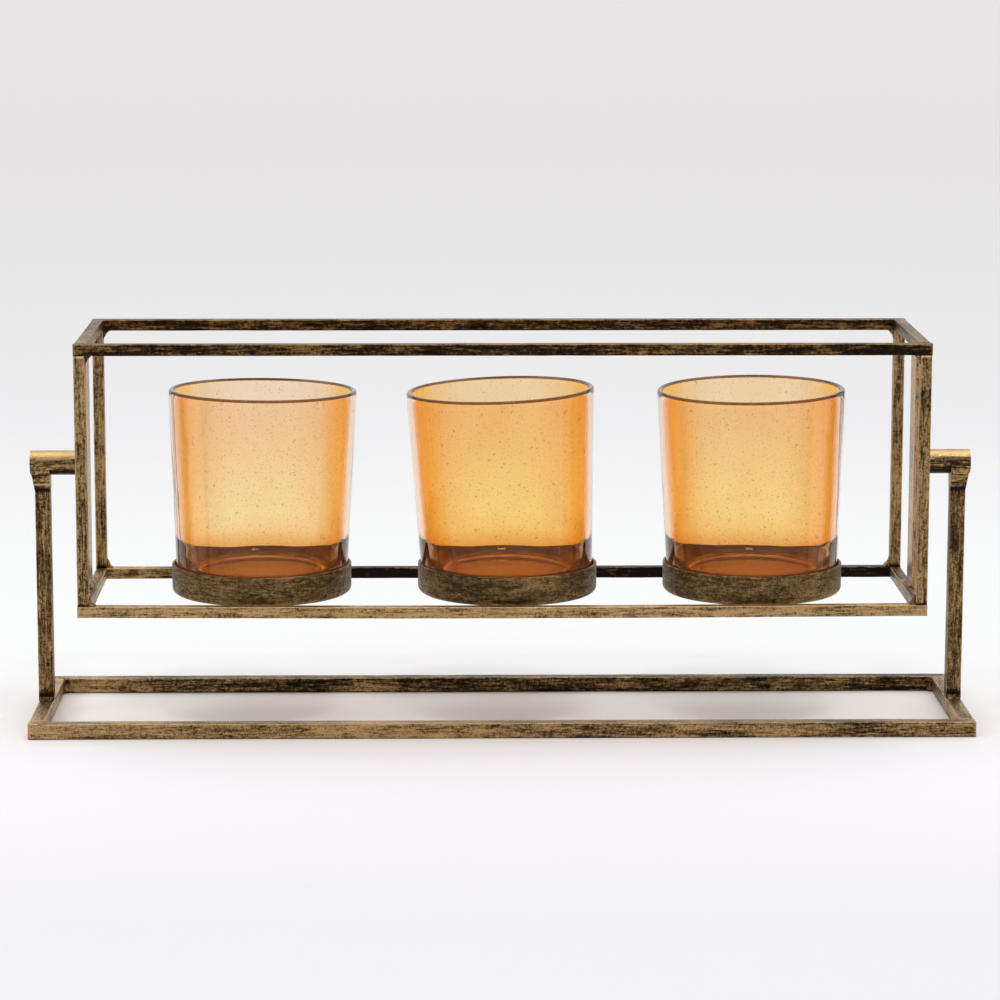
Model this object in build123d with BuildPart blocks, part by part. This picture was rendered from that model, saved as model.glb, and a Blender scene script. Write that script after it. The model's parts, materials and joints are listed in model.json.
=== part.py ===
from build123d import *
import math
import os

# Triple votive candle holder: a welded box frame of square bar swings between
# two posts on a flat base, and carries three amber glasses in pressed trays.
# Millimetres. X runs along the row, -Y is the front, +Z is up.
# The origin is on the table, under the middle of the base.

# Glasses
glass_rim_diameter = 77.0
glass_foot_diameter = 69.6
glass_height = 82.4
glass_wall = 2.2
glass_base = 6.0
glass_heel_radius = 3.0
glass_rim_round = 0.95
glass_floor_inset = 10.3
glass_floor_blend = 6.0
glass_shoulder_inset = 5.1
glass_shoulder_rise = 8.0
glass_shoulder_blend = 12.0
glass_wall_rise = 16.0
glass_wall_blend = 12.0

# Trays
tray_play = 0.8
tray_wall = 1.2
tray_height = 12.0
tray_corner_radius = 2.4
tray_rim_chamfer = 0.4
tray_sink = 2.1
tray_rail_gap = 2.44

# Row of trays in the cradle
glass_spacing = 23.75
row_offset = 2.5
end_gap = 27.69
lift_clearance = 0.74
headroom = 19.0

# Bars and straps
cradle_bar = 4.76
base_bar = 6.35
bar_edge_radius = 0.45
strap_width = 15.0
strap_thickness = 1.6
strap_edge_radius = 0.3

# Pivot
pivot_rise = 1.0
pin_diameter = 6.0
pin_clearance = 0.05
pin_recess = 0.8
sleeve_diameter = 10.0
sleeve_overhang = 1.6
sleeve_gap = 0.5
neck_height = 11.0
neck_top_drop = 1.0

# Base round the cradle
base_margin = 2.0
post_gap = 14.15
swing_clearance = 27.7

# Weld beads
corner_bead_across = 2.4
corner_bead_up = 3.6
strap_bead_size = 1.5
post_bead_size = 1.8
base_bead_size = 2.2
bead_hollow = 0.3
tray_bead_width = 13.0
tray_bead_height = 3.4
tray_bead_grip = 1.6
tray_bead_bow = 0.57

# Names of the repeats, with the side of the middle that each is on
sides = {"left": -1, "right": 1}
ends = {"front": -1, "back": 1}
seats = {"left": -1, "centre": 0, "right": 1}

# Sizes that follow
rim_radius = glass_rim_diameter / 2
foot_radius = glass_foot_diameter / 2
tray_inner_radius = foot_radius + tray_play
tray_outer_radius = tray_inner_radius + tray_wall
tray_pitch = glass_rim_diameter + glass_spacing
row_half = (len(seats) - 1) / 2 * tray_pitch

# The bay is deep enough for the rim to pass and for the trays to stand clear of the rails
bay_half = max(rim_radius + lift_clearance, tray_outer_radius + tray_rail_gap)
cradle_inner_depth = 2 * bay_half
cradle_depth = cradle_inner_depth + 2 * cradle_bar
cradle_width = 2 * (row_half + tray_outer_radius + end_gap + cradle_bar)
glass_seat = tray_wall - tray_sink
cradle_inner_height = glass_seat + glass_height + headroom
cradle_height = cradle_inner_height + 2 * cradle_bar
pivot_above_bottom = cradle_height / 2 + pivot_rise

cradle_x = cradle_width / 2
cradle_y = cradle_depth / 2
rail_x = cradle_x - cradle_bar / 2
rail_y = cradle_y - cradle_bar / 2

swing_radius = math.hypot(cradle_y, pivot_above_bottom)
pivot_height = base_bar + swing_radius + swing_clearance
cradle_bottom = pivot_height - pivot_above_bottom
cradle_top = cradle_bottom + cradle_height
upright_foot = cradle_bottom + cradle_bar
upright_head = cradle_top - cradle_bar
upright_length = upright_head - upright_foot

base_width = cradle_width + 2 * (post_gap + base_bar)
base_depth = cradle_depth + 2 * base_margin
base_x = base_width / 2
base_y = base_depth / 2
post_x = base_x - base_bar / 2
neck_bottom = pivot_height - neck_height
post_length = neck_bottom - base_bar

tray_bottom = upright_foot - tray_sink
glass_bottom = tray_bottom + tray_wall

os.makedirs("parts", exist_ok=True)


def save(piece, name):
    piece.part.label = name
    export_step(piece.part, "parts/" + name + ".step")


def along_x(x, y, z):
    """Plane across a bar that runs along +X from this point."""
    return Plane(origin=(x, y, z), x_dir=(0, 1, 0), z_dir=(1, 0, 0))


def along_y(x, y, z):
    """Plane across a bar that runs along +Y from this point."""
    return Plane(origin=(x, y, z), x_dir=(1, 0, 0), z_dir=(0, 1, 0))


def along_z(x, y, z):
    """Plane across a bar that stands on this point."""
    return Plane(origin=(x, y, z))


def save_bar(name, plane, size, length):
    """Rolled square bar with softened long edges."""
    with BuildPart() as bar:
        with BuildSketch(plane):
            RectangleRounded(size, size, bar_edge_radius)
        extrude(amount=length)
    save(bar, name)


def bead_profile(across, up):
    """Fillet weld in the corner at the origin, with a slightly hollow face."""
    middle = (across / 2 - bead_hollow, up / 2 - bead_hollow)
    with BuildSketch() as profile:
        with BuildLine():
            Polyline((across, 0), (0, 0), (0, up))
            ThreePointArc((0, up), middle, (across, 0))
        make_face()
    return profile.sketch


def corner_plane(corner, across, up):
    """Plane at the middle of a weld, with x across one face and y up the other."""
    return Plane(origin=corner, x_dir=across, z_dir=Vector(*across).cross(Vector(*up)))


def half_section(radius, height):
    """Half section of a round solid, from its axis outwards."""
    return Rectangle(radius, height, align=(Align.MIN, Align.MIN), mode=Mode.PRIVATE)


def round_corner(sketch, point, radius):
    """Round the corner of a section that stands at this point."""
    fillet(sketch.vertices().sort_by_distance(point)[0], radius)


# Base frame: the front and back bars run the full width

for end, sign in ends.items():
    y = sign * (base_y - base_bar / 2)
    save_bar("base_" + end + "_bar", along_x(-base_x, y, base_bar / 2), base_bar, base_width)

base_side_length = base_depth - 2 * base_bar
for side, sign in sides.items():
    plane = along_y(sign * post_x, -base_side_length / 2, base_bar / 2)
    save_bar("base_" + side + "_bar", plane, base_bar, base_side_length)

# Beads stand in the four inner corners of the base
base_flat = base_bar - 2 * bar_edge_radius
base_bead = bead_profile(base_bead_size, base_bead_size)
with BuildPart() as base_welds:
    for x_sign in sides.values():
        for y_sign in ends.values():
            corner = (x_sign * (base_x - base_bar), y_sign * (base_y - base_bar), base_bar / 2)
            with BuildSketch(corner_plane(corner, (-x_sign, 0, 0), (0, -y_sign, 0))):
                add(base_bead)
            extrude(amount=base_flat / 2, both=True)
save(base_welds, "base_corner_welds")

# Posts stand at mid depth, flush with the ends of the base, with a bead before and behind
post_bead = bead_profile(post_bead_size, post_bead_size)
for side, sign in sides.items():
    save_bar(side + "_post", along_z(sign * post_x, 0, base_bar), base_bar, post_length)

    with BuildPart() as post_welds:
        for y_sign in ends.values():
            corner = (sign * post_x, y_sign * base_bar / 2, base_bar)
            with BuildSketch(corner_plane(corner, (0, y_sign, 0), (0, 0, 1))):
                add(post_bead)
            extrude(amount=base_flat / 2, both=True)
    save(post_welds, side + "_post_welds")

# Pivot heads: a bored sleeve on a short neck that flares from the post

sleeve_radius = sleeve_diameter / 2
bore_radius = pin_diameter / 2 + pin_clearance
sleeve_outer_x = base_x + sleeve_overhang
sleeve_inner_x = cradle_x + sleeve_gap
sleeve_length = sleeve_outer_x - sleeve_inner_x
neck_top = pivot_height - neck_top_drop
neck_top_depth = 2 * math.sqrt(sleeve_radius**2 - neck_top_drop**2)
neck_top_width = base_bar + sleeve_overhang

for side, sign in sides.items():
    sleeve_start = min(sign * sleeve_outer_x, sign * sleeve_inner_x)
    with BuildPart() as head:
        with BuildSketch(along_z(sign * post_x, 0, neck_bottom)):
            RectangleRounded(base_bar, base_bar, bar_edge_radius)
        with BuildSketch(along_z(sign * (post_x + sleeve_overhang / 2), 0, neck_top)):
            RectangleRounded(neck_top_width, neck_top_depth, bar_edge_radius)
        loft()
        with BuildSketch(along_x(sleeve_start, 0, pivot_height)):
            Circle(sleeve_radius)
        extrude(amount=sleeve_length)
        with BuildSketch(along_x(sleeve_start, 0, pivot_height)):
            Circle(bore_radius)
        extrude(amount=sleeve_length, mode=Mode.SUBTRACT)
    save(head, side + "_pivot_head")

# Cradle: top and bottom rectangles of bar, joined by four uprights

rail_heights = {"bottom": cradle_bottom + cradle_bar / 2, "top": cradle_top - cradle_bar / 2}
for level, z in rail_heights.items():
    for end, sign in ends.items():
        plane = along_x(-cradle_x, sign * rail_y, z)
        save_bar("cradle_" + level + "_" + end + "_rail", plane, cradle_bar, cradle_width)
    for side, sign in sides.items():
        plane = along_y(sign * rail_x, -cradle_inner_depth / 2, z)
        save_bar("cradle_" + level + "_" + side + "_rail", plane, cradle_bar, cradle_inner_depth)

# Each upright has a bead at its foot and head, inside the front or back frame
cradle_flat = cradle_bar - 2 * bar_edge_radius
corner_bead = bead_profile(corner_bead_across, corner_bead_up)
faces = {upright_foot: 1, upright_head: -1}
for end, y_sign in ends.items():
    for side, x_sign in sides.items():
        name = end + "_" + side
        plane = along_z(x_sign * rail_x, y_sign * rail_y, upright_foot)
        save_bar("cradle_" + name + "_upright", plane, cradle_bar, upright_length)

        with BuildPart() as corner_welds:
            for z, up in faces.items():
                corner = (x_sign * (cradle_x - cradle_bar), y_sign * rail_y, z)
                with BuildSketch(corner_plane(corner, (-x_sign, 0, 0), (0, 0, up))):
                    add(corner_bead)
                extrude(amount=cradle_flat / 2, both=True)
        save(corner_welds, "cradle_" + name + "_welds")

# Pivot straps stand between the side rails, flush with their outer faces

strap_face = cradle_x - strap_thickness
pin_end = sleeve_outer_x - pin_recess
strap_bead = bead_profile(strap_bead_size, strap_bead_size)
for side, sign in sides.items():
    with BuildPart() as strap:
        with BuildSketch(along_z(sign * (cradle_x - strap_thickness / 2), 0, upright_foot)):
            RectangleRounded(strap_thickness, strap_width, strap_edge_radius)
        extrude(amount=upright_length)
        with BuildSketch(along_x(sign * cradle_x, 0, pivot_height)):
            Circle(pin_diameter / 2)
        extrude(amount=strap_thickness, both=True, mode=Mode.SUBTRACT)
    save(strap, side + "_pivot_strap")

    with BuildPart() as strap_welds:
        for z, up in faces.items():
            corner = (sign * strap_face, 0, z)
            with BuildSketch(corner_plane(corner, (-sign, 0, 0), (0, 0, up))):
                add(strap_bead)
            extrude(amount=strap_width / 2 - strap_edge_radius, both=True)
    save(strap_welds, side + "_strap_welds")

    # The pin goes through the strap and stops just inside the sleeve's outer end
    with BuildPart() as pin:
        with BuildSketch(along_x(min(sign * strap_face, sign * pin_end), 0, pivot_height)):
            Circle(pin_diameter / 2)
        extrude(amount=pin_end - strap_face)
    save(pin, side + "_pivot_pin")

# Trays: pressed cups that hang between the bottom rails by a bead at the front and back

tray_inside = half_section(tray_inner_radius, tray_height)
with BuildSketch() as tray_outside:
    add(half_section(tray_outer_radius, tray_height))
    round_corner(tray_outside, (tray_outer_radius, 0), tray_corner_radius)

tray_bead_top = upright_foot - bar_edge_radius
tray_bead_reach = tray_outer_radius - tray_corner_radius - tray_bead_grip

for seat, place in seats.items():
    seat_x = row_offset + place * tray_pitch
    seat_axis = Axis((seat_x, 0, 0), (0, 0, 1))
    section_plane = Plane(origin=(seat_x, 0, tray_bottom), x_dir=(1, 0, 0), z_dir=(0, -1, 0))

    with BuildPart() as tray:
        with BuildSketch(section_plane) as section:
            add(tray_outside.sketch)
            with Locations((0, tray_wall)):
                add(tray_inside, mode=Mode.SUBTRACT)
            for edge in (tray_inner_radius, tray_outer_radius):
                corner = section.vertices().sort_by_distance((edge, tray_height))[0]
                chamfer(corner, tray_rim_chamfer)
        revolve(axis=seat_axis)
    save(tray, seat + "_tray")

    with BuildPart() as tray_welds:
        for y_sign in ends.values():
            bead_plane = Plane(origin=(seat_x, 0, 0), x_dir=(0, y_sign, 0), z_dir=(y_sign, 0, 0))
            with BuildSketch(bead_plane):
                with BuildLine():
                    Polyline(
                        (bay_half, tray_bead_top - tray_bead_height),
                        (bay_half, tray_bead_top),
                        (tray_bead_reach, tray_bead_top),
                        (tray_bead_reach, tray_bottom),
                    )
                    ThreePointArc(
                        (tray_bead_reach, tray_bottom),
                        ((tray_bead_reach + bay_half) / 2, tray_bottom - tray_bead_bow),
                        (bay_half, tray_bead_top - tray_bead_height),
                    )
                make_face()
            extrude(amount=tray_bead_width / 2, both=True)
        with BuildSketch(section_plane):
            add(tray_outside.sketch)
        revolve(axis=seat_axis, mode=Mode.SUBTRACT)
    save(tray_welds, seat + "_tray_welds")

# Glasses: blown, tapered, with a heavy base and a fire-polished rim

glass_taper = (rim_radius - foot_radius) / glass_height
glass_wall_foot = foot_radius - glass_wall + glass_taper * (glass_base + glass_wall_rise)
glass_shoulder = (foot_radius - glass_shoulder_inset, glass_base + glass_shoulder_rise)
glass_wall_start = (glass_wall_foot, glass_base + glass_wall_rise)
glass_floor_edge = (foot_radius - glass_floor_inset, glass_base)

with BuildSketch() as glass_section:
    with BuildLine():
        Polyline(
            (0, 0),
            (foot_radius, 0),
            (rim_radius, glass_height),
            (rim_radius - glass_wall, glass_height),
            glass_wall_start,
            glass_shoulder,
            glass_floor_edge,
            (0, glass_base),
            close=True,
        )
    make_face()
    round_corner(glass_section, (foot_radius, 0), glass_heel_radius)
    round_corner(glass_section, (rim_radius, glass_height), glass_rim_round)
    round_corner(glass_section, (rim_radius - glass_wall, glass_height), glass_rim_round)
    round_corner(glass_section, glass_wall_start, glass_wall_blend)
    round_corner(glass_section, glass_shoulder, glass_shoulder_blend)
    round_corner(glass_section, glass_floor_edge, glass_floor_blend)

for seat, place in seats.items():
    seat_x = row_offset + place * tray_pitch
    with BuildPart() as glass:
        with BuildSketch(Plane(origin=(seat_x, 0, glass_bottom), x_dir=(1, 0, 0), z_dir=(0, -1, 0))):
            add(glass_section.sketch)
        revolve(axis=Axis((seat_x, 0, 0), (0, 0, 1)))
    save(glass, seat + "_glass")
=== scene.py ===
import json
import math
import random

import bmesh
import bpy
from mathutils import Matrix, Vector, noise

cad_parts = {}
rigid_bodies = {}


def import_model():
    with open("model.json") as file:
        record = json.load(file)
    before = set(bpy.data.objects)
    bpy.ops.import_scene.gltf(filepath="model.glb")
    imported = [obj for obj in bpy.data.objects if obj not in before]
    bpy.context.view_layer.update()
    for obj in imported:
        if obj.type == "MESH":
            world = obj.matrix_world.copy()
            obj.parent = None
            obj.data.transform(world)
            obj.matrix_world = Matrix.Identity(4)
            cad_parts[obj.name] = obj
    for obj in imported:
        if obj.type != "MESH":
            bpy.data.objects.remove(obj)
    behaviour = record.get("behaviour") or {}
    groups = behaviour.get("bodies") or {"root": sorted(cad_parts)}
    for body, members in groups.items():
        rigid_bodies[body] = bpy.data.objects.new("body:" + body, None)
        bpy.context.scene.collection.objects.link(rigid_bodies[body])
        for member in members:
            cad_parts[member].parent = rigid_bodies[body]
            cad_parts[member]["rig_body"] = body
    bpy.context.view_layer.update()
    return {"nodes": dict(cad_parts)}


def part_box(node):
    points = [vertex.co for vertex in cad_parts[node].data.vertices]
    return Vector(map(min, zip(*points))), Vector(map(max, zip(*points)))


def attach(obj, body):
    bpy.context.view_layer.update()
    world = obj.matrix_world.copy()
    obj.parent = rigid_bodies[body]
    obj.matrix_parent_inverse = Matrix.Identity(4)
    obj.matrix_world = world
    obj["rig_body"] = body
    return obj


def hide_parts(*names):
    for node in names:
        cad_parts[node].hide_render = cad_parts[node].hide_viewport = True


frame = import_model()
nodes = frame["nodes"]
MM = 0.001

# Camera, found by fitting the bars' edges in the photograph
CAMERA_PLACE = (-0.03055, -1.47170, 0.33761)
CAMERA_FORWARD = (0.02014, 0.98588, -0.16625)
CAMERA_ROLL = math.radians(0.09)
CAMERA_LENS = 131.06
SENSOR = 36.0

# Floor: painted light and shade in its tone by how far back it lies, and a painted pool of warm bounce light
# inside the base that fades out at its sides
FLOOR_HALF = 40.0
FLOOR_SPAN = (-0.5, 6.5)
FLOOR_PAINTED_LIGHT_TONES = [
    (-0.30, (0.745, 0.735, 0.745)),
    (-0.075, (0.89, 0.855, 0.885)),
    (0.15, (0.835, 0.845, 0.838)),
    (0.81, (0.80, 0.79, 0.795)),
    (1.59, (0.86, 0.85, 0.845)),
    (2.47, (0.895, 0.875, 0.875)),
    (6.0, (0.95, 0.92, 0.92)),
]
FLOOR_PAINTED_BOUNCE = (0.97, 0.925, 0.885, 1.0)
BOUNCE_DEPTH = (0.03, 0.07)
BOUNCE_WIDTH = (0.17, 0.22)

# Surroundings: the backdrop that the camera sees, and what lights the object, dimmer in front and below
BACKDROP_COLOUR = (0.80, 0.785, 0.805, 1.0)
WORLD_COLOUR = (0.98, 0.985, 1.0, 1.0)
WORLD_LEVEL = 1.12
FRONT_DIM = 0.42
LOW_DIM = 0.82

# Lamps: place, size and power. Each looks at the target.
LAMP_TARGET = (0, 0, 0.05)
LAMPS = {
    "top_softbox": ((0.0, 0.1, 1.7), (1.6, 1.2), 7.0),
    "left_softbox": ((-1.5, -0.9, 1.2), (1.0, 1.0), 4.5),
    "right_softbox": ((1.5, -0.6, 1.2), (1.0, 1.0), 2.0),
    "spark": ((0.12, -0.55, 1.5), (0.22, 0.12), 2.2),
}

# Metal colours: dark iron, half rubbed, and gold
BRONZE = ((0.007, 0.004, 0.002), (0.052, 0.025, 0.009), (0.235, 0.133, 0.048))
GOLD = ((0.009, 0.005, 0.003), (0.125, 0.074, 0.028), (0.37, 0.24, 0.107))
TRAY_TONES = ((0.040, 0.024, 0.010), (0.115, 0.070, 0.026), (0.225, 0.15, 0.062))
STEEL = ((0.05, 0.045, 0.04), (0.25, 0.23, 0.2), (0.5, 0.46, 0.4))

# Grain: how fast the patina changes along X, Y and Z
GRAINS = {
    "x": (0.09, 1.0, 1.0),
    "y": (1.0, 0.09, 1.0),
    "z": (1.0, 1.0, 0.09),
    "ring": (0.2, 0.2, 1.0),
    "even": (0.7, 0.7, 0.7),
}
GRAINS_WITHOUT_EDGES = ("ring", "even")
# Gold gained at edges: wear, and partly a painted highlight
EDGE_WEAR_AND_HIGHLIGHT = 0.6
PATINA_DEPTH = 0.22 * MM

# Share of gold on each piece, and where along X more or less of it is added
COVER = {
    "cradle_top_front_rail": 0.36,
    "cradle_top_back_rail": 0.38,
    "cradle_bottom_front_rail": 0.76,
    "cradle_bottom_back_rail": 0.34,
    "base_front_bar": 0.64,
    "base_back_bar": 0.35,
    "base_left_bar": 0.74,
    "base_right_bar": 0.62,
    "left_post": 0.46,
    "right_post": 0.38,
}
COVER_OTHER = 0.56
COVER_STRAP = 0.85
COVER_HEAD = 0.62
COVER_PIN = 0.6
COVER_BEADS = 0.5
COVER_TRAY = 0.53
FADES = {
    "cradle_bottom_back_rail": (-0.150, -0.128, 0.25, -0.5),
    "base_back_bar": (-0.165, -0.135, 0.3, 0.0),
    "base_front_bar": (0.0, 0.18, 0.10, -0.2),
}
SOFT = 0.09
SOFT_POST = 0.13
# How far the bands that are darker towards their middle reach, at the posts' foot and at their seam
FOOT_DARK_REACH = 4.5 * MM
SEAM_DARK_REACH = 1.3 * MM

# Bars and weld beads, in millimetres. A bowed bar's middle hangs by this much.
BAR_EDGE = 0.55
BAR_STEP = 2.0
BOWS = {"cradle_bottom_front_rail": (0, 0, -0.6)}
WELD_EDGE = 0.8
WELD_LUMP = 0.32
WELD_INSET = 0.02

# Trays, in millimetres
TRAY_WALL = 1.2
TRAY_CORNER = 2.4
TRAY_LIP = 0.45
TRAY_INNER_CORNER = 0.3
TRAY_ARC_STEPS = 6
TRAY_RUN = 2.0

# Glasses, in millimetres, as the CAD solids: the base sweeps up into the wall over this height
GLASS_FOOT_RADIUS = 34.8
GLASS_WALL = 2.2
GLASS_BASE = 6.0
GLASS_SWEEP = 16
FOOT_HOLLOW = 1.0
FIRED_RIM = 1.3
UNEVEN = 0.22
GLASS_ARC_STEPS = 7
GLASS_RUN = 2.5
ROUND_SEGMENTS = 160

# Air bubbles in a glass's wall: how many, their radii, and how far they keep from the foot and the rim
BUBBLES = 46
BUBBLE_SEED = 40
BUBBLE_RADII = (0.12, 0.16, 0.2, 0.28)
BUBBLE_LOW = 24
BUBBLE_TOP = 4

# Each glass: how its rim leans front to back, how far it stands to the right, and its tint
SEATS = {
    "left": (-0.013, 1.0, (1.0, 0.94, 0.51)),
    "centre": (0.003, -3.0, (1.0, 0.82, 0.27)),
    "right": (0.016, -1.25, (1.0, 0.86, 0.34)),
}

# Glass: the body, seen flat and at its edge, its heavy foot, and the tint of its gloss
GLASS_IOR = 1.42
BODY_TINT = (1.0, 0.885, 0.78, 1.0)
BODY_EDGE = (0.93, 0.56, 0.33, 1.0)
FOOT_TINT = (0.94, 0.46, 0.17, 1.0)
BODY_ABSORPTION = (0.97, 0.594, 0.247, 1.0)
ABSORPTION_DENSITY = 14.0
BODY_GLINT = (1.0, 0.82, 0.62, 1.0)
FOOT_GLINT = (0.95, 0.42, 0.14, 1.0)
RIM_GLINT = (0.85, 0.40, 0.18, 1.0)

# Stain on the inside: factors on each glass's tint at the rim and at a slant, the colour near the base,
# and specks by scale, where they start and strength
STAIN_TOP = (1.0, 0.78, 0.93)
STAIN_DEEP = (0.985, 0.48, 0.12)
STAIN_LOW = (0.93, 0.46, 0.13, 1.0)
SPECKS = ((1150.0, 0.645, 0.38), (520.0, 0.705, 0.6))
SPECK_COLOUR = (0.25, 0.12, 0.04, 1.0)

# Brown veil: a little opaque colour at the fired rim, there a painted dark line of refraction, and low on the
# wall
RIM_PAINTED_DARK = (0.13, 0.045, 0.014, 1.0)
RIM_PAINTED_VEIL = 0.45
FOOT_BROWN = (0.42, 0.15, 0.04, 1.0)
FOOT_VEIL = 0.12

# The finish attribute on a glass's faces
BODY, INSIDE, RIM = 0.0, 1.0, 2.0


def make_camera():
    """The photograph's viewpoint."""
    forward = Vector(CAMERA_FORWARD).normalized()
    level = forward.cross(Vector((0, 0, 1))).normalized()
    upright = level.cross(forward)
    right = level * math.cos(CAMERA_ROLL) + upright * math.sin(CAMERA_ROLL)
    up = right.cross(forward)
    data = bpy.data.cameras.new("camera")
    data.lens = CAMERA_LENS
    data.sensor_width = SENSOR
    data.clip_end = 100
    camera = bpy.data.objects.new("camera", data)
    turn = Matrix((right, up, -forward)).transposed().to_4x4()
    camera.matrix_world = Matrix.Translation(CAMERA_PLACE) @ turn
    bpy.context.scene.collection.objects.link(camera)
    bpy.context.scene.camera = camera


class Tree:
    """Short calls to build a node tree. Any value may be a number, a colour or another node's output."""

    def __init__(self, tree):
        self.tree = tree
        tree.nodes.clear()

    def add(self, kind, settings=None, **inputs):
        made = self.tree.nodes.new(kind)
        for key, value in (settings or {}).items():
            setattr(made, key, value)
        for key, value in inputs.items():
            self.set(made, key.replace("_", " "), value)
        return made

    def set(self, node, name, value):
        socket = node.inputs[name] if isinstance(name, int) else self.find(node, name)
        if isinstance(value, bpy.types.NodeSocket):
            self.tree.links.new(value, socket)
        else:
            socket.default_value = value

    def find(self, node, name):
        for socket in node.inputs:
            if socket.name.lower() == name.lower() and socket.enabled:
                return socket
        raise KeyError(name)

    def math(self, operation, *values):
        made = self.add("ShaderNodeMath", {"operation": operation})
        for index, value in enumerate(values):
            self.set(made, index, value)
        return made.outputs[0]

    def sum(self, first, *others):
        for value in others:
            first = self.math("ADD", first, value)
        return first

    def product(self, first, *others):
        for value in others:
            first = self.math("MULTIPLY", first, value)
        return first

    def split(self, vector):
        return self.add("ShaderNodeSeparateXYZ", vector=vector).outputs

    def scaled(self, vector, scale, offset=(0, 0, 0)):
        return self.add("ShaderNodeMapping", vector=vector, scale=scale, location=offset).outputs[0]

    def noise(self, vector, scale, detail=4.0, roughness=0.55, distortion=0.0):
        made = self.add(
            "ShaderNodeTexNoise",
            vector=vector,
            scale=scale,
            detail=detail,
            roughness=roughness,
            distortion=distortion,
        )
        return made.outputs[0]

    def ramp(self, factor, stops):
        made = self.tree.nodes.new("ShaderNodeValToRGB")
        elements = made.color_ramp.elements
        while len(elements) < len(stops):
            elements.new(0.5)
        for element, (place, colour) in zip(elements, stops):
            element.position = place
            element.color = (*colour, 1.0)
        self.set(made, 0, factor)
        return made.outputs[0]

    def spread(self, value, low, high, out_low=0.0, out_high=1.0):
        """A value's range from low to high, mapped to another range and held at its ends."""
        made = self.tree.nodes.new("ShaderNodeMapRange")
        for index, item in enumerate((value, low, high, out_low, out_high)):
            self.set(made, index, item)
        return made.outputs[0]

    def mix(self, factor, a, b, blend="MIX"):
        made = self.add("ShaderNodeMix", {"data_type": "RGBA", "blend_type": blend})
        for index, value in ((0, factor), (6, a), (7, b)):
            self.set(made, index, value)
        return made.outputs[2]


def new_material(name):
    material = bpy.data.materials.new(name)
    material.use_nodes = True
    return material, Tree(material.node_tree)


def make_world():
    """Soft studio surroundings: bright above and behind, dimmer towards the camera."""
    world = bpy.data.worlds.new("studio")
    bpy.context.scene.world = world
    world.use_nodes = True
    tree = Tree(world.node_tree)
    direction = tree.split(tree.add("ShaderNodeTexCoord").outputs["Generated"])
    back = tree.spread(direction["Y"], -0.8, 0.3, FRONT_DIM, 1.0)
    high = tree.spread(direction["Z"], -0.1, 0.8, LOW_DIM, 1.0)
    around = tree.mix(1.0, WORLD_COLOUR, tree.product(back, high), blend="MULTIPLY")
    lit = tree.add("ShaderNodeBackground", color=around, strength=WORLD_LEVEL)
    seen = tree.add("ShaderNodeBackground", color=BACKDROP_COLOUR, strength=1.0)
    mixed = tree.add("ShaderNodeMixShader")
    camera_ray = tree.add("ShaderNodeLightPath").outputs["Is Camera Ray"]
    for index, value in enumerate((camera_ray, lit.outputs[0], seen.outputs[0])):
        tree.set(mixed, index, value)
    tree.add("ShaderNodeOutputWorld", surface=mixed.outputs[0])


def make_lamp(name, place, size, power):
    data = bpy.data.lights.new(name, "AREA")
    data.shape = "RECTANGLE"
    data.size, data.size_y = size
    data.energy = power
    lamp = bpy.data.objects.new(name, data)
    lamp.location = place
    aim = Vector(LAMP_TARGET) - Vector(place)
    lamp.rotation_mode = "QUATERNION"
    lamp.rotation_quaternion = aim.to_track_quat("-Z", "Y")
    bpy.context.scene.collection.objects.link(lamp)


def link_mesh(name, mesh):
    made = bpy.data.objects.new(name, mesh)
    bpy.context.scene.collection.objects.link(made)
    return made


def make_floor():
    """One sheet of paper, with painted light and shade toned into it from front to back as in the photograph.
    """
    mesh = bpy.data.meshes.new("floor")
    h = FLOOR_HALF
    mesh.from_pydata([(-h, -h, 0), (h, -h, 0), (h, h, 0), (-h, h, 0)], [], [(0, 1, 2, 3)])
    floor = link_mesh("floor", mesh)
    material, tree = new_material("floor_paper")
    place = tree.split(tree.add("ShaderNodeTexCoord").outputs["Object"])
    # Painted light and shade: the paper's tone from front to back
    low, high = FLOOR_SPAN
    stops = [((y - low) / (high - low), tone) for y, tone in FLOOR_PAINTED_LIGHT_TONES]
    colour = tree.ramp(tree.spread(place["Y"], low, high), stops)
    # Painted pool of warm bounce light inside the base, fading out at its sides
    inside = tree.spread(tree.math("ABSOLUTE", place["Y"]), *BOUNCE_DEPTH, 1.0, 0.0)
    along = tree.spread(tree.math("ABSOLUTE", place["X"]), *BOUNCE_WIDTH, 1.0, 0.0)
    colour = tree.mix(tree.product(inside, along), colour, FLOOR_PAINTED_BOUNCE)
    shader = tree.add("ShaderNodeBsdfDiffuse", color=colour)
    tree.add("ShaderNodeOutputMaterial", surface=shader.outputs[0])
    mesh.materials.append(material)


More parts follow.
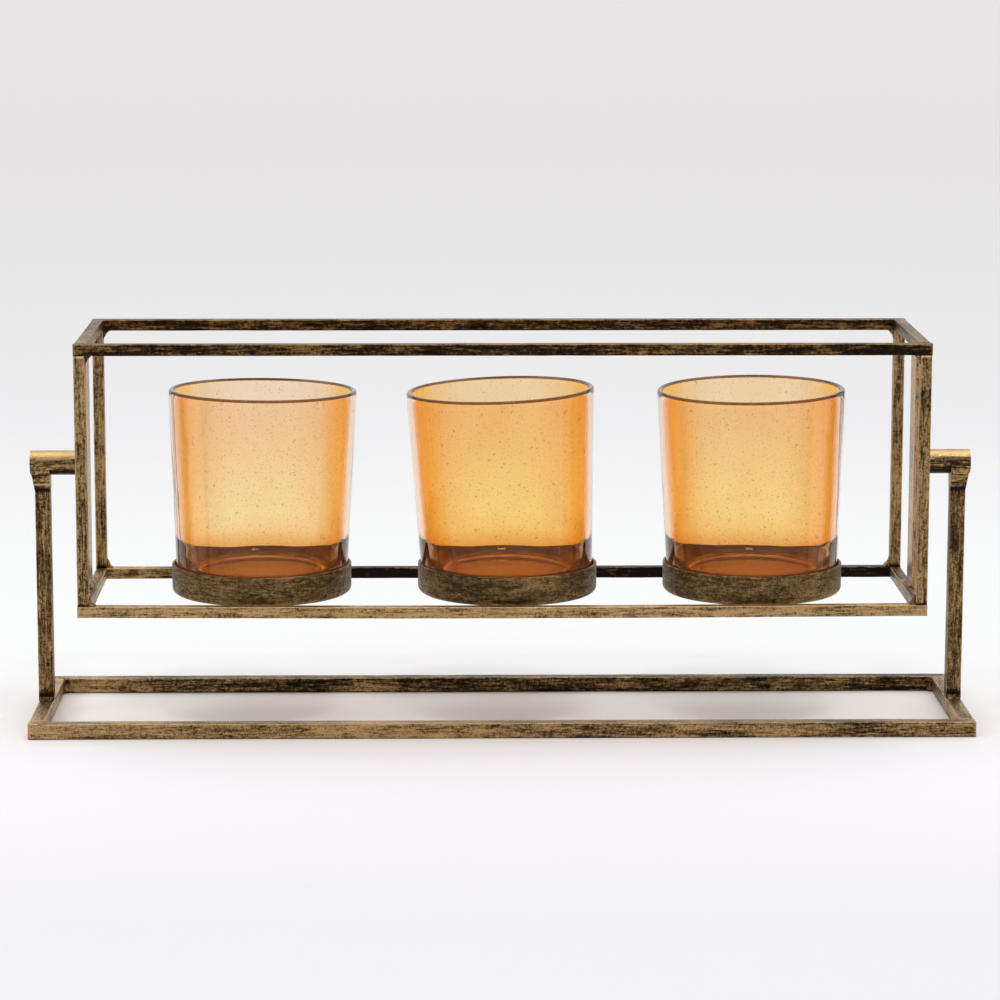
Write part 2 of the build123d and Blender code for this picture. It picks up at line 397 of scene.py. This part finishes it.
def patina(
    name, grain, tones, cover, gloss=(0.3, 0.5), offset=(0, 0, 0), fade=None, dark_bands=(), shade=False, soft=SOFT
):
    """Gold rubbed over dark iron: streaks along the grain, dark patches, pores, scratches, bright worn edges
    that are partly a painted highlight, and painted shade on edges that face down. cover is the share of
    gold, and soft how gradually it ends.
    fade adds to it along X. dark_bands is a list of bands darker towards their middle, each a height and a
    reach.
    shade adds painted shade on what faces down and a painted highlight on what faces up."""
    dark, middle, gold = tones
    material, tree = new_material(name)
    coordinates = tree.add("ShaderNodeTexCoord").outputs
    spot = tree.split(coordinates["Object"])
    normal = tree.split(coordinates["Normal"])
    place = tree.scaled(coordinates["Object"], (1, 1, 1), offset)
    drawn = tree.scaled(place, GRAINS[grain])
    long_drawn = tree.scaled(place, tuple(0.45 * share for share in GRAINS[grain]))

    streaks = tree.noise(drawn, 1250.0, detail=5.0, roughness=0.7, distortion=0.4)
    grit = tree.noise(place, 700.0, detail=5.0, roughness=0.7)
    patches = tree.noise(drawn, 330.0, detail=3.0, roughness=0.6, distortion=1.0)
    clouds = tree.noise(place, 42.0, detail=3.0)
    pores = tree.noise(place, 1500.0, detail=3.0, roughness=0.6)
    scratches = tree.noise(long_drawn, 4200.0, detail=1.0)

    layers = ((streaks, 0.36), (grit, 0.26), (patches, 0.20), (clouds, 0.18))
    rubbed = tree.sum(*(tree.product(layer, share) for layer, share in layers))
    amount = tree.sum(
        tree.spread(rubbed, 0.5 - soft, 0.5 + soft),
        tree.spread(pores, 0.56, 0.68, 0.0, -0.55),
        tree.spread(scratches, 0.60, 0.72, 0.0, 0.35),
        cover - 0.5,
    )
    if fade:
        amount = tree.sum(amount, tree.spread(spot["X"], *fade))
    # Darker towards each band's middle
    for level, reach in dark_bands:
        away = tree.math("ABSOLUTE", tree.math("SUBTRACT", spot["Z"], level))
        amount = tree.sum(amount, tree.spread(away, 0.35 * reach, reach, -0.7, 0.0))

    # Worn edges, partly a painted highlight, where the surface's own normal lies between two axes;
    # underneath, painted shade darkens them instead
    if grain not in GRAINS_WITHOUT_EDGES:
        sides = [tree.math("ABSOLUTE", normal[axis]) for axis in "XYZ"]
        longest = tree.math("MAXIMUM", tree.math("MAXIMUM", sides[0], sides[1]), sides[2])
        edge = tree.spread(longest, 0.97, 0.8, 0.0, EDGE_WEAR_AND_HIGHLIGHT)
        painted_shade_below = tree.spread(normal["Z"], -0.5, -0.1, -0.8, 1.0)
        amount = tree.sum(amount, tree.product(edge, painted_shade_below, 0.7))
    # Painted shade on what faces down and a painted highlight on what faces up
    if shade:
        amount = tree.sum(amount, tree.spread(normal["Z"], -0.8, 0.8, -0.5, 0.4))

    bright = tuple(channel * 1.55 for channel in gold)
    colour = tree.ramp(amount, [(0.12, dark), (0.4, middle), (0.68, gold), (1.0, bright)])
    rough = tree.spread(tree.sum(streaks, tree.product(pores, 0.4)), 0.45, 0.95, *gloss)
    height = tree.sum(streaks, tree.product(pores, 0.5), tree.product(patches, 0.8))
    bump = tree.add("ShaderNodeBump", strength=0.75, distance=PATINA_DEPTH, height=height)
    shader = tree.add(
        "ShaderNodeBsdfPrincipled",
        base_color=colour,
        metallic=tree.spread(amount, 0.1, 0.45, 0.3, 0.95),
        roughness=rough,
        specular_ior_level=0.1,
        normal=bump.outputs[0],
    )
    tree.add("ShaderNodeOutputMaterial", surface=shader.outputs[0])
    return material


def finish_piece(bm, piece_name, node_name):
    """Turn a bmesh into a piece that rides and stands in the place of a CAD node."""
    mesh = bpy.data.meshes.new(piece_name)
    bm.to_mesh(mesh)
    bm.free()
    for polygon in mesh.polygons:
        polygon.use_smooth = len(polygon.vertices) <= 4
    piece = link_mesh(piece_name, mesh)
    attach(piece, nodes[node_name]["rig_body"])
    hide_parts(node_name)
    return piece


def bar_section(half, radius):
    """Rounded square, as offsets from the bar's middle, in order."""
    flats, turns = 4, 4
    inner = half - radius
    points = []
    for quarter in range(4):
        spin = Matrix.Rotation(math.pi / 2 * quarter, 2)
        for i in range(flats):
            points.append(spin @ Vector((half, -inner + 2 * inner * i / flats)))
        for i in range(turns):
            angle = math.pi / 2 * i / turns
            corner = (inner + radius * math.cos(angle), inner + radius * math.sin(angle))
            points.append(spin @ Vector(corner))
    return points


def worn(at, seed):
    """How far a bar's surface lies inside its nominal face, in millimetres: shallow dents, hammer marks."""
    shift = Vector((seed * 3.1, seed * 1.7, seed * 5.3))
    dent = 0.5 + 0.5 * noise.noise(at / 11.0 + shift)
    mark = 0.5 + 0.5 * noise.noise(at / 2.6 + shift)
    return 0.13 * dent + 0.07 * mark


def make_bar(name, seed):
    """A square bar with worn faces in the place of its CAD node. Returns it with the axis it runs along."""
    low, high = (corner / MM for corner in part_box(name))
    size, centre = high - low, (low + high) / 2
    axis = max(range(3), key=lambda i: size[i])
    across = [i for i in range(3) if i != axis]
    half = [size[i] / 2 for i in across]
    bow = Vector(BOWS.get(name, (0, 0, 0)))
    section = bar_section(half[0], BAR_EDGE)
    count = max(2, round(size[axis] / BAR_STEP))
    bm = bmesh.new()
    rings = []
    for k in range(count + 1):
        share = k / count
        ring = []
        for point in section:
            at = Vector(centre)
            at[axis] = low[axis] + share * size[axis]
            at[across[0]] += point.x
            at[across[1]] += point.y * half[1] / half[0]
            inward = Vector(centre) - at
            inward[axis] = 0
            at += inward.normalized() * worn(at, seed)
            at += bow * math.sin(math.pi * share)
            ring.append(bm.verts.new(at * MM))
        rings.append(ring)
    width = len(section)
    for a, b in zip(rings, rings[1:]):
        for i in range(width):
            j = (i + 1) % width
            bm.faces.new((a[i], a[j], b[j], b[i]))
    bm.faces.new(rings[0])
    bm.faces.new(rings[-1])
    bmesh.ops.recalc_face_normals(bm, faces=bm.faces)
    return finish_piece(bm, "worn_" + name, name), "xyz"[axis]


def make_welds(name):
    """The node's weld beads, made lumpy."""
    bm = bmesh.new()
    bm.from_mesh(nodes[name].data)
    bmesh.ops.remove_doubles(bm, verts=bm.verts, dist=0.01 * MM)
    bmesh.ops.triangulate(bm, faces=bm.faces)
    for _ in range(3):
        long_edges = [edge for edge in bm.edges if edge.calc_length() > WELD_EDGE * MM]
        bmesh.ops.subdivide_edges(bm, edges=long_edges, cuts=1)
        bmesh.ops.triangulate(bm, faces=bm.faces)
    bm.normal_update()
    for vert in bm.verts:
        at = vert.co / MM
        lump = noise.noise(at / 1.5) + 0.5 * noise.noise(at / 0.6)
        vert.co += vert.normal * (WELD_LUMP * lump - WELD_INSET) * MM
    return finish_piece(bm, "lumpy_" + name, name)


def rounded(corners, steps):
    """The path through these corners, each a distance from the axis, a height and the radius of its arc."""
    points = [Vector(corner[:2]) for corner in corners]
    path = []
    for i, (here, corner) in enumerate(zip(points, corners)):
        arc = corner[2]
        if arc == 0:
            path.append(here)
            continue
        before = (points[i - 1] - here).normalized()
        after = (points[i + 1] - here).normalized()
        half = before.angle(after) / 2
        reach = arc / math.tan(half)
        centre = here + (before + after).normalized() * (arc / math.sin(half))
        start = here + before * reach - centre
        sweep = start.angle_signed(here + after * reach - centre)
        for step in range(steps + 1):
            turn = Matrix.Rotation(-sweep * step / steps, 2)
            path.append(centre + turn @ start)
    return path


def even_path(path, step):
    """The path with extra points so that no run is longer than step."""
    out = [path[0]]
    for a, b in zip(path, path[1:]):
        count = max(1, math.ceil((b - a).length / step))
        out += [a.lerp(b, i / count) for i in range(1, count + 1)]
    return out


def lathe(path, shape, finish=None):
    """Turn a path about Z. shape moves each point a little, so that nothing is a perfect circle.
    finish gives each run of the path a number, which its faces keep as an attribute."""
    bm = bmesh.new()
    layer = bm.faces.layers.float.new("finish")
    rings = []
    for index, point in enumerate(path):
        if point.x < 1e-6:
            rings.append([bm.verts.new(shape(0.0, 0.0, point.y, index))])
            continue
        ring = []
        for k in range(ROUND_SEGMENTS):
            angle = 2 * math.pi * k / ROUND_SEGMENTS
            ring.append(bm.verts.new(shape(point.x, angle, point.y, index)))
        rings.append(ring)
    for index, (low, high) in enumerate(zip(rings, rings[1:])):
        mark = finish((path[index] + path[index + 1]) / 2) if finish else BODY
        for k in range(ROUND_SEGMENTS):
            n = (k + 1) % ROUND_SEGMENTS
            if len(low) == 1:
                corners = (low[0], high[n], high[k])
            elif len(high) == 1:
                corners = (low[k], low[n], high[0])
            else:
                corners = (low[k], low[n], high[n], high[k])
            bm.faces.new(corners)[layer] = mark
    bmesh.ops.recalc_face_normals(bm, faces=bm.faces)
    return bm


def make_tray(seat, seed):
    """Pressed tray, a little uneven, in the place of its CAD node."""
    node = seat + "_tray"
    low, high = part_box(node)
    centre = (low + high) / 2
    radius = (high.x - low.x) / 2 / MM
    height = (high.z - low.z) / MM
    inner = radius - TRAY_WALL
    corners = [
        (0, 0, 0),
        (radius, 0, TRAY_CORNER),
        (radius, height, TRAY_LIP),
        (inner, height, TRAY_LIP),
        (inner, TRAY_WALL, TRAY_INNER_CORNER),
        (0, TRAY_WALL, 0),
    ]

    def shape(r, angle, z, index):
        side = Vector((math.cos(angle), math.sin(angle), 0))
        dent = 0.5 + 0.5 * noise.noise(Vector((side.x * 3, side.y * 3, z / 9 + seed * 4.1)))
        mark = 0.5 + 0.5 * noise.noise(Vector((side.x * 13, side.y * 13, z / 3 + seed * 2.7)))
        r -= (0.14 * dent + 0.05 * mark) if r > inner - 0.5 else 0.0
        return Vector((centre.x, centre.y, low.z)) + Vector((side.x * r, side.y * r, z)) * MM

    bm = lathe(even_path(rounded(corners, TRAY_ARC_STEPS), TRAY_RUN), shape)
    piece = finish_piece(bm, "pressed_tray_" + seat, node)
    offset = (seed * 0.9, 0.3, seed * 0.4)
    coat = patina("tray_patina_" + seat, "ring", TRAY_TONES, COVER_TRAY, gloss=(0.34, 0.55), offset=offset)
    piece.data.materials.append(coat)


def dress(name, material):
    """Give a CAD node that stays a better material."""
    piece = nodes[name]
    piece.data.materials.clear()
    piece.data.materials.append(material)


def make_bars():
    """All bars, each with its own share of gold and its own run of the patina."""
    foot, seam = (corner.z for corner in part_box("left_post"))
    bars = [name for name in sorted(nodes) if name.endswith(("bar", "rail", "upright", "post"))]
    for seed, name in enumerate(bars):
        piece, grain = make_bar(name, seed)
        is_post = name.endswith("post")
        coat = patina(
            "finish_" + name,
            grain,
            BRONZE if "top" in name else GOLD,
            COVER.get(name, COVER_OTHER),
            offset=(seed * 0.37, seed * 0.53, seed * 0.71),
            fade=FADES.get(name),
            dark_bands=[(foot, FOOT_DARK_REACH), (seam, SEAM_DARK_REACH)] if is_post else (),
            soft=SOFT_POST if is_post else SOFT,
        )
        piece.data.materials.append(coat)


def make_joinery():
    """Weld beads, and materials for the pins, pivot heads and straps."""
    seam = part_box("left_post")[1].z
    beads = patina("weld_beads", "even", GOLD, COVER_BEADS, gloss=(0.35, 0.6))
    steel = patina("pivot_steel", "x", STEEL, COVER_PIN)
    dark_bands = [(seam, SEAM_DARK_REACH)]
    head = patina("pivot_head_gold", "x", GOLD, COVER_HEAD, gloss=(0.2, 0.42), dark_bands=dark_bands, shade=True)
    for name in sorted(nodes):
        if name.endswith("welds"):
            lumpy = make_welds(name)
            lumpy.data.materials.append(beads)
        elif name.endswith("pin"):
            dress(name, steel)
        elif name.endswith("head"):
            dress(name, head)
        elif name.endswith("strap"):
            dress(name, patina("finish_" + name, "z", GOLD, COVER_STRAP, gloss=(0.15, 0.32)))


def amber_glass(seat, tint, low, high):
    """Pale body, amber in its heavy foot, with an amber stain fired on the inside. The finish attribute
    marks the faces of body, inside and rim. The stain is deeper where it is seen at a slant."""
    material, tree = new_material("amber_glass_" + seat)
    coordinates = tree.add("ShaderNodeTexCoord").outputs["Object"]
    height = tree.split(coordinates)["Z"]
    finish = tree.add("ShaderNodeAttribute", {"attribute_name": "finish"}).outputs["Fac"]
    facing = tree.add("ShaderNodeLayerWeight", blend=0.5).outputs["Facing"]
    above_foot = tree.spread(height, low + 14 * MM, low + 26 * MM)
    stained = tree.spread(finish, BODY, INSIDE)
    fired = tree.spread(finish, INSIDE, RIM)

    body = tree.mix(tree.spread(facing, 0.3, 0.7), BODY_TINT, BODY_EDGE)
    body = tree.mix(above_foot, FOOT_TINT, body)

    deep = (*(a * b for a, b in zip(tint, STAIN_DEEP)), 1.0)
    top = (*(a * b for a, b in zip(tint, STAIN_TOP)), 1.0)
    cloud = tree.noise(tree.scaled(coordinates, (1.0, 1.0, 0.5)), 50.0, detail=3.0)
    stain = tree.mix(tree.spread(height, low + 20 * MM, high), (*tint, 1.0), top)
    stain = tree.mix(tree.spread(facing, 0.05, 0.5), stain, deep)
    stain = tree.mix(tree.spread(height, low + 8 * MM, low + 18 * MM, 0.85, 0.0), stain, STAIN_LOW)
    stain = tree.mix(tree.spread(cloud, 0.38, 0.7, 0.0, 0.28), stain, deep)
    for scale, start, strength in SPECKS:
        speck = tree.spread(tree.noise(coordinates, scale, detail=1.0), start, start + 0.05, 0.0, strength)
        stain = tree.mix(speck, stain, SPECK_COLOUR)

    low_wall = tree.spread(height, low + 12 * MM, low + 19 * MM, FOOT_VEIL, 0.0)
    low_wall = tree.product(low_wall, tree.math("SUBTRACT", 1.0, stained))
    # At the rim the veil is a painted dark line of refraction
    veil = tree.sum(tree.product(fired, RIM_PAINTED_VEIL), low_wall)
    colour = tree.mix(stained, body, stain)
    colour = tree.mix(fired, colour, RIM_PAINTED_DARK)
    colour = tree.mix(low_wall, colour, FOOT_BROWN)
    glint = tree.mix(above_foot, FOOT_GLINT, BODY_GLINT)
    ripple = tree.noise(tree.scaled(coordinates, (1.0, 1.0, 0.3)), 110.0, detail=2.0)
    bump = tree.add("ShaderNodeBump", strength=0.2, distance=0.3 * MM, height=ripple)
    shader = tree.add(
        "ShaderNodeBsdfPrincipled",
        base_color=colour,
        roughness=0.0,
        ior=GLASS_IOR,
        transmission_weight=tree.math("SUBTRACT", 1.0, veil),
        specular_tint=tree.mix(fired, glint, RIM_GLINT),
        normal=bump.outputs[0],
    )
    inside = tree.add("ShaderNodeVolumeAbsorption", color=BODY_ABSORPTION, density=ABSORPTION_DENSITY)
    tree.add("ShaderNodeOutputMaterial", surface=shader.outputs[0], volume=inside.outputs[0])
    return material


def make_glass(seat, lean, sideways, tint, seed):
    """Blown glass with a hollow foot, a heavy base and bubbles in its wall, a little crooked in its tray."""
    node = seat + "_glass"
    low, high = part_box(node)
    centre = (low + high) / 2
    height = (high.z - low.z) / MM
    rim = (high.x - low.x) / 2 / MM
    foot = GLASS_FOOT_RADIUS
    taper = (rim - foot) / height
    sweep = GLASS_BASE + GLASS_SWEEP

    # Profile: the hollow and its ring, up the outside, over the rim, and down the inside's three blends
    corners = [
        (0, FOOT_HOLLOW, 0),
        (foot - 8, FOOT_HOLLOW, 3),
        (foot - 4.5, 0, 1),
        (foot, 0, 3),
        (rim, height, 1),
        (rim - GLASS_WALL, height, 1),
        (foot - GLASS_WALL + taper * sweep, sweep, 12),
        (foot - 3.3, GLASS_BASE + 5, 5),
        (foot - 7.5, GLASS_BASE, 4),
        (0, GLASS_BASE, 0),
    ]
    path = even_path(rounded(corners, GLASS_ARC_STEPS), GLASS_RUN)

    def shape(radius, angle, z, index):
        side = Vector((math.cos(angle), math.sin(angle), 0))
        layer = 0 if index < len(path) / 2 else 5
        at = Vector((side.x * 1.6, side.y * 1.6, z / 40 + seed * 7.3 + layer))
        inward = UNEVEN * (0.5 + 0.5 * noise.noise(at)) if radius > 20 else 0.0
        share = (z / height) ** 2
        x = side.x * (radius - inward) + sideways * z / height
        z += (lean * side.y - sideways / height * side.x) * radius * share
        return Vector((centre.x, centre.y, low.z)) + Vector((x, side.y * (radius - inward), z)) * MM

    def finish(point):
        if point.y > height - FIRED_RIM:
            return RIM
        wall_middle = foot - GLASS_WALL / 2 + taper * point.y
        return INSIDE if point.x < wall_middle and point.y > GLASS_BASE - 0.5 else BODY

    bm = lathe(path, shape, finish)
    draw = random.Random(BUBBLE_SEED + seed)
    for _ in range(BUBBLES):
        angle = draw.uniform(0, 2 * math.pi)
        z = draw.uniform(BUBBLE_LOW, height - BUBBLE_TOP)
        radius = foot + taper * z - GLASS_WALL / 2
        size = draw.choice(BUBBLE_RADII)
        place = Vector((radius * math.cos(angle) + sideways * z / height, radius * math.sin(angle), z))
        spot = Matrix.Translation(Vector((centre.x, centre.y, low.z)) + place * MM)
        stretch = Matrix.Diagonal((1, 1, draw.uniform(1.0, 1.8), 1))
        made = bmesh.ops.create_icosphere(bm, subdivisions=2, radius=size * MM, matrix=spot @ stretch)
        faces = {face for vert in made["verts"] for face in vert.link_faces}
        bmesh.ops.reverse_faces(bm, faces=list(faces))

    piece = finish_piece(bm, "amber_" + seat, node)
    piece.data.materials.append(amber_glass(seat, tint, low.z, high.z))


bpy.context.scene.view_settings.view_transform = "Standard"
make_camera()
make_world()
make_floor()
for name, (place, size, power) in LAMPS.items():
    make_lamp(name, place, size, power)
make_bars()
for seed, seat in enumerate(SEATS):
    make_tray(seat, seed)
make_joinery()
for seed, (seat, (lean, sideways, tint)) in enumerate(SEATS.items()):
    make_glass(seat, lean, sideways, tint, seed)
